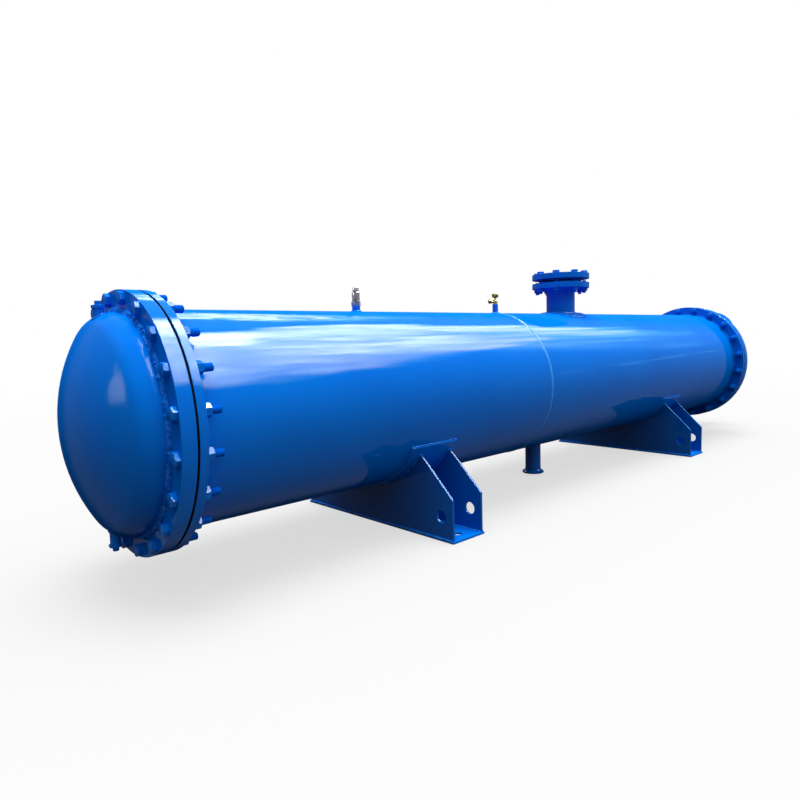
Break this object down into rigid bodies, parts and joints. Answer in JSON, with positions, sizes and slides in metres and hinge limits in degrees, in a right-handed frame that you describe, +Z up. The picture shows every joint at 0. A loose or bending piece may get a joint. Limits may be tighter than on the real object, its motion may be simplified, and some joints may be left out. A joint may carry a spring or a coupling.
{
  "type": "shell and tube heat exchanger",
  "caption": "Horizontal shell and tube heat exchanger on two saddles, with a dished return head, a channel head with two water nozzles, and a flanged gas nozzle on top.",
  "frame": {"origin": "on the floor under the shell's axis, midway between the two saddles, at the centre of the four anchor holes", "axes": "+X along the shell towards the channel head with the water nozzles, +Z up"},
  "size_m": [3.522, 0.676, 0.813],
  "materials": {
    "blue_paint": "glossy blue enamel over rolled and welded steel",
    "valve_steel": "satin turned steel",
    "valve_brass": "turned brass, slightly dull",
    "gasket": "matt black jointing sheet"
  },
  "bodies": {
    "root": {"return_head_dome": "blue_paint", "return_head_flange": "blue_paint", "return_head_gasket": "gasket", "return_head_bolts": "blue_paint", "near_tube_sheet": "blue_paint", "shell_near_course": "blue_paint", "shell_girth_weld": "blue_paint", "shell_far_course": "blue_paint", "far_tube_sheet": "blue_paint", "channel_gasket": "gasket", "channel_flange": "blue_paint", "channel_bolts": "blue_paint", "channel_dome": "blue_paint", "channel_partition": "blue_paint", "water_outlet_neck": "blue_paint", "water_outlet_flange": "blue_paint", "water_inlet_neck": "blue_paint", "water_inlet_flange": "blue_paint", "gas_nozzle_pad": "blue_paint", "gas_nozzle_neck": "blue_paint", "gas_nozzle_flange": "blue_paint", "gas_nozzle_gasket": "gasket", "gas_companion_flange": "blue_paint", "gas_nozzle_bolts": "blue_paint", "liquid_outlet_pipe": "blue_paint", "liquid_outlet_collar": "blue_paint", "safety_valve_stub": "blue_paint", "safety_valve": "valve_steel", "gauge_valve_stub": "blue_paint", "gauge_valve": "valve_brass", "vent_boss": "blue_paint", "vent_plug": "blue_paint", "drain_boss": "blue_paint", "drain_plug": "blue_paint", "near_saddle_base_plate": "blue_paint", "near_saddle_web_near": "blue_paint", "near_saddle_web_far": "blue_paint", "near_saddle_wear_pad": "blue_paint", "far_saddle_base_plate": "blue_paint", "far_saddle_web_near": "blue_paint", "far_saddle_web_far": "blue_paint", "far_saddle_wear_pad": "blue_paint"}
  },
  "joints": []
}
